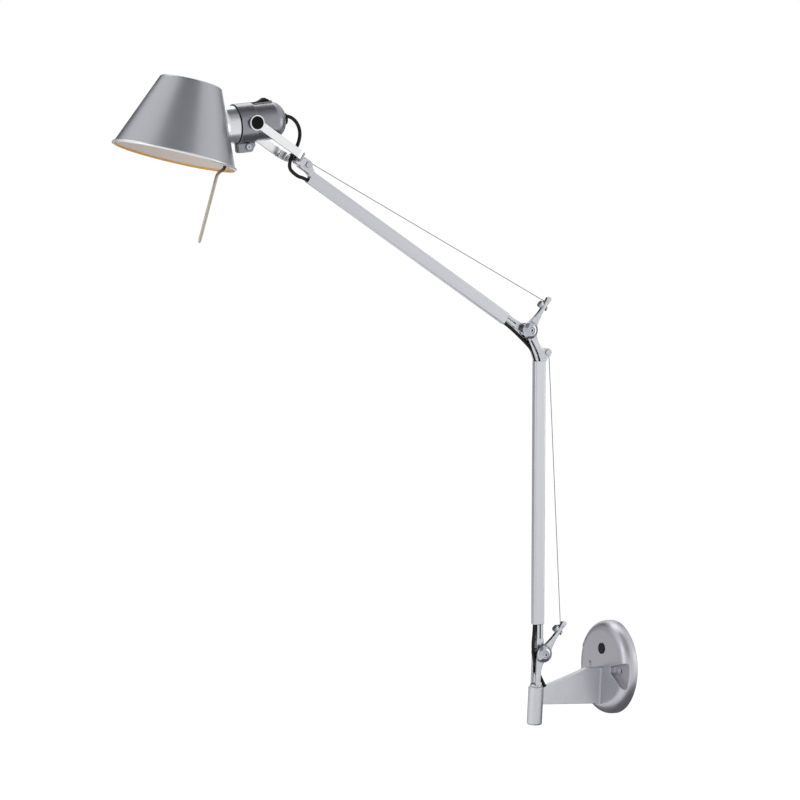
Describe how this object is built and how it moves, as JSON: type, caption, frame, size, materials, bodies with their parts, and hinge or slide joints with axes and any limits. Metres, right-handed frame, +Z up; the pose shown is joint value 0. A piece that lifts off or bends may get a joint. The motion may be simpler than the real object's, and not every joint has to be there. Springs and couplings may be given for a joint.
{
  "type": "articulating wall lamp",
  "caption": "Wall lamp with a round plate, a bracket and swivelling stem, two tubular arms held by wires in tension, and a tilting conical shade.",
  "frame": {"origin": "centre of the wall plate's back face, midway between its two screw holes", "axes": "+Z up, +Y into the wall, +X along the wall; the arms fold in the plane X = 0 and reach towards -Y"},
  "size_m": [0.18, 0.8589, 0.9507],
  "materials": {
    "satin_aluminium": "satin anodised spun and cast aluminium",
    "polished_aluminium": "polished die-cast aluminium",
    "bright_steel": "bright plated steel",
    "plain_steel": "plain zinc-plated steel",
    "black_plastic": "moulded black plastic",
    "bearing_plastic": "natural acetal",
    "black_sheath": "black flexible sheath",
    "glazed_ceramic": "white glazed ceramic",
    "nickel_brass": "plated brass",
    "frosted_glass": "frosted glass"
  },
  "bodies": {
    "wall_bracket": {"wall_plate": "satin_aluminium", "hole_plug": "black_plastic", "bracket_arm": "satin_aluminium", "root_screws": "plain_steel", "terminal_block": "black_plastic", "stem_bush": "bearing_plastic", "bracket_lead": "black_sheath"},
    "stem": {"stem_casting": "polished_aluminium", "retaining_screw": "plain_steel", "base_joint_fasteners": "plain_steel", "base_joint_cap": "bright_steel", "base_friction_washers": "bearing_plastic", "base_lead": "black_sheath"},
    "base_trim": {"base_trim_screw": "bright_steel"},
    "lower_arm": {"lower_tube": "satin_aluminium", "lower_root": "polished_aluminium", "elbow_casting": "polished_aluminium", "lower_pulley_pin": "plain_steel", "lower_spring": "plain_steel", "lower_wire": "plain_steel", "lower_tube_lead": "black_sheath", "elbow_joint_fasteners": "plain_steel", "elbow_joint_cap": "bright_steel", "elbow_friction_washers": "bearing_plastic", "elbow_lead": "black_sheath"},
    "lower_wheel": {"lower_pulley": "bright_steel"},
    "elbow_trim": {"elbow_trim_screw": "bright_steel"},
    "upper_arm": {"upper_tube": "satin_aluminium", "upper_root": "polished_aluminium", "arm_end": "polished_aluminium", "upper_pulley_pin": "plain_steel", "upper_spring": "plain_steel", "upper_wire": "plain_steel", "upper_tube_lead": "black_sheath"},
    "upper_wheel": {"upper_pulley": "bright_steel"},
    "fork_head": {"fork": "bright_steel", "swivel_screw": "plain_steel", "swivel_washer": "bearing_plastic", "head_caps": "black_plastic", "head_spacers": "black_plastic", "head_lead": "black_sheath"},
    "holder": {"head_screws": "plain_steel", "clamp_ring": "polished_aluminium", "clamp_screw": "plain_steel", "holder_housing": "satin_aluminium", "switch_body": "black_plastic", "lead_gland": "black_plastic", "seam_gasket": "black_plastic", "socket_insulator": "glazed_ceramic", "socket_contacts": "nickel_brass", "bulb_cap": "nickel_brass", "bulb_glass": "frosted_glass"},
    "switch_rocker": {"rocker": "black_plastic"},
    "shade_head": {"shade": "satin_aluminium", "shade_neck": "polished_aluminium", "shade_inner_ring": "polished_aluminium", "handle": "bright_steel", "handle_clamp": "polished_aluminium"}
  },
  "joints": [
    {"name": "stem_swivel", "type": "hinge", "parent": "wall_bracket", "child": "stem", "pos_m": [0, -0.1364, -0.05], "axis": [0, 0, 1], "range_deg": [-90, 90], "deforming": ["base_lead"]},
    {"name": "base_trim_turn", "type": "hinge", "parent": "stem", "child": "base_trim", "pos_m": [0.0075, -0.10582, 0.06007], "axis": [0, -0.8039, 0.5948], "range_deg": [-180, 180]},
    {"name": "lower_arm_tilt", "type": "hinge", "parent": "stem", "child": "lower_arm", "pos_m": [0, -0.1314, 0.0255], "axis": [1, 0, 0], "range_deg": [-15, 60], "deforming": ["base_lead", "lower_wire"]},
    {"name": "lower_pulley_turn", "type": "hinge", "parent": "lower_arm", "child": "lower_wheel", "pos_m": [0, -0.14807, 0.48705], "axis": [1, 0, 0], "range_deg": [-400, 105]},
    {"name": "elbow_trim_turn", "type": "hinge", "parent": "lower_arm", "child": "elbow_trim", "pos_m": [0.0075, -0.16071, 0.55626], "axis": [0, -0.8329, 0.5534], "range_deg": [-180, 180]},
    {"name": "elbow_fold", "type": "hinge", "parent": "lower_arm", "child": "upper_arm", "pos_m": [0, -0.18451, 0.52045], "axis": [1, 0, 0], "range_deg": [-50, 50], "deforming": ["elbow_lead", "upper_wire"]},
    {"name": "upper_pulley_turn", "type": "hinge", "parent": "upper_arm", "child": "upper_wheel", "pos_m": [0, -0.56393, 0.75037], "axis": [1, 0, 0], "range_deg": [-330, 330]},
    {"name": "fork_swivel", "type": "hinge", "parent": "upper_arm", "child": "fork_head", "pos_m": [0, -0.58757, 0.76224], "axis": [0, -0.863, 0.5053], "range_deg": [-60, 60], "deforming": ["head_lead"]},
    {"name": "head_tilt", "type": "hinge", "parent": "fork_head", "child": "holder", "pos_m": [0, -0.66049, 0.80494], "axis": [1, 0, 0], "range_deg": [-60, 50], "deforming": ["head_lead"]},
    {"name": "rocker_tilt", "type": "hinge", "parent": "holder", "child": "switch_rocker", "pos_m": [0, -0.64078, 0.83362], "axis": [1, 0, 0], "range_deg": [-12, 0]},
    {"name": "shade_turn", "type": "hinge", "parent": "holder", "child": "shade_head", "pos_m": [0, -0.66049, 0.80494], "axis": [0, 0.9874, 0.1582], "range_deg": [-90, 90]}
  ],
  "couplings": [
    {"joint": "lower_pulley_turn", "follows": "lower_arm_tilt", "ratio": -6.6},
    {"joint": "upper_pulley_turn", "follows": "elbow_fold", "ratio": -6.2}
  ]
}
